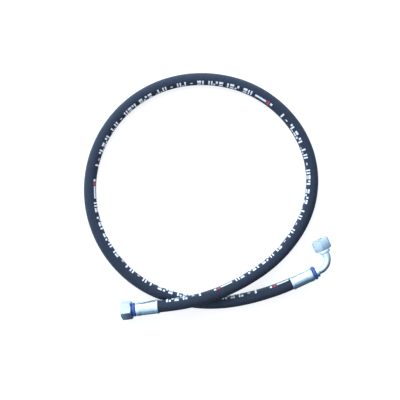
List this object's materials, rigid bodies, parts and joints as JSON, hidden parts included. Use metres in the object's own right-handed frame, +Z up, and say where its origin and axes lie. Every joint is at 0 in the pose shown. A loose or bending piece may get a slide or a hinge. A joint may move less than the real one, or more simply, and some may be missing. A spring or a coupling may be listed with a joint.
{
  "type": "hydraulic hose assembly",
  "caption": "Braided rubber hydraulic hose lying in a loop, with crimped swivel-nut end fittings, straight at one end and elbowed at the other.",
  "frame": {"origin": "midway between the two end fittings, on the floor that the hose lies on", "axes": "+Z up from the floor, -X along the straight end fitting seen from above (the fitting dips 9 degrees to the floor), +Y towards the far side of the hose's loop"},
  "size_m": [0.3881, 0.3867, 0.041],
  "materials": {
    "hose_cover": "black blue-tinted cloth-wrapped rubber, satin",
    "inner_rubber": "plain black rubber, matt",
    "braid_wire": "brass-coated high-tensile steel wire, braided",
    "zinc_plate": "bright zinc-plated steel with a cool tint",
    "spring_wire": "bare drawn spring wire",
    "blue_plastic": "royal blue moulded plastic",
    "seal_rubber": "black nitrile, smooth",
    "braze_alloy": "plated-over braze fillet"
  },
  "bodies": {
    "hose_and_stems": {"hose_liner": "inner_rubber", "inner_wire_braid": "braid_wire", "braid_separator": "inner_rubber", "outer_wire_braid": "braid_wire", "hose_cover": "hose_cover", "straight_ferrule": "zinc_plate", "straight_stem": "zinc_plate", "straight_marker_ring": "blue_plastic", "straight_cone_seal": "seal_rubber", "elbow_ferrule": "zinc_plate", "elbow_hose_tail": "zinc_plate", "elbow_marker_ring": "blue_plastic", "elbow_tube": "zinc_plate", "elbow_tail_braze": "braze_alloy", "elbow_nose_braze": "braze_alloy", "elbow_cone_nose": "zinc_plate", "elbow_cone_seal": "seal_rubber"},
    "straight_nut": {"straight_swivel_nut": "zinc_plate", "straight_retaining_wire": "spring_wire"},
    "elbow_nut": {"elbow_swivel_nut": "zinc_plate", "elbow_retaining_wire": "spring_wire"}
  },
  "joints": [
    {"name": "straight_nut_swivel", "type": "hinge", "parent": "hose_and_stems", "child": "straight_nut", "pos_m": [-0.16655, -0.0298, 0.01631], "axis": [-0.9877, 0, -0.1564], "continuous": true},
    {"name": "elbow_nut_swivel", "type": "hinge", "parent": "hose_and_stems", "child": "elbow_nut", "pos_m": [0.16114, 0.03217, 0.01531], "axis": [-0.2924, 0.9563, 0], "continuous": true}
  ]
}
